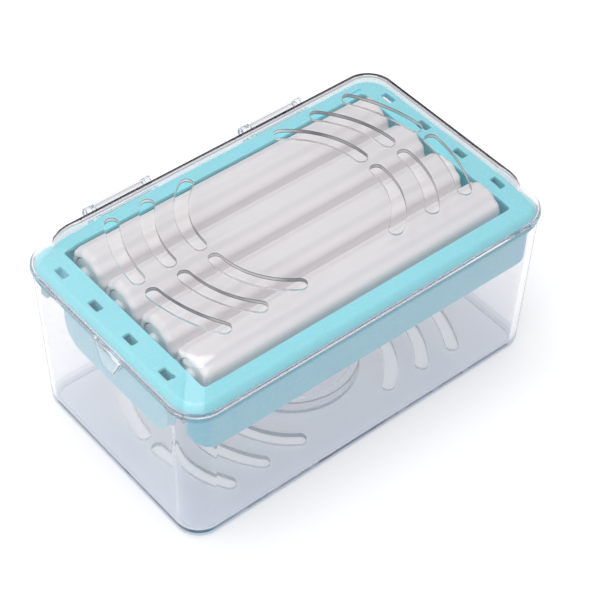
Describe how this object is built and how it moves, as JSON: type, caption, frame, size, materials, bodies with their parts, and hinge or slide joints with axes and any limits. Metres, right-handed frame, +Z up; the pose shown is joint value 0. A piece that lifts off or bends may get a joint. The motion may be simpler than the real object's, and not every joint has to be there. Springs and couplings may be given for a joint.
{
  "type": "soap box",
  "caption": "Clear drafted soap box with a hinged vented lid and a lift-out frame of ribbed rollers that lather the soap below them.",
  "frame": {"origin": "middle of the base of the whole outline, hinges and thumb tabs included, on the plane that the foot rim stands on", "axes": "+X along the box's long side, to the right when the hinges are at the back; +Y from the front wall to the hinges; +Z up"},
  "size_m": [0.1368, 0.0878, 0.0673],
  "materials": {
    "clear_box": "clear moulded polystyrene, glossy, faintly cool",
    "clear_lid": "clear moulded polystyrene, glossy",
    "cyan_frame": "light cyan polypropylene, satin gloss",
    "roller_white": "off-white polyethylene, satin",
    "milky_plug": "milky translucent polypropylene"
  },
  "bodies": {
    "box": {"box_body": "clear_box", "roller_frame": "cyan_frame"},
    "lid": {"lid": "clear_lid"},
    "roller_1": {"roller_1_sleeve": "roller_white", "roller_1_left_plug": "milky_plug", "roller_1_right_plug": "milky_plug"},
    "roller_2": {"roller_2_sleeve": "roller_white", "roller_2_left_plug": "milky_plug", "roller_2_right_plug": "milky_plug"},
    "roller_3": {"roller_3_sleeve": "roller_white", "roller_3_left_plug": "milky_plug", "roller_3_right_plug": "milky_plug"},
    "roller_4": {"roller_4_sleeve": "roller_white", "roller_4_left_plug": "milky_plug", "roller_4_right_plug": "milky_plug"}
  },
  "joints": [
    {"name": "lid_hinge", "type": "hinge", "parent": "box", "child": "lid", "pos_m": [0, 0.04145, 0.0547], "axis": [-1, 0, 0], "range_deg": [0, 110]},
    {"name": "roller_1_spin", "type": "hinge", "parent": "box", "child": "roller_1", "pos_m": [0, -0.0272, 0.0539], "axis": [1, 0, 0], "continuous": true},
    {"name": "roller_2_spin", "type": "hinge", "parent": "box", "child": "roller_2", "pos_m": [0, -0.0108, 0.0539], "axis": [1, 0, 0], "continuous": true},
    {"name": "roller_3_spin", "type": "hinge", "parent": "box", "child": "roller_3", "pos_m": [0, 0.0056, 0.0539], "axis": [1, 0, 0], "continuous": true},
    {"name": "roller_4_spin", "type": "hinge", "parent": "box", "child": "roller_4", "pos_m": [0, 0.022, 0.0539], "axis": [1, 0, 0], "continuous": true}
  ]
}
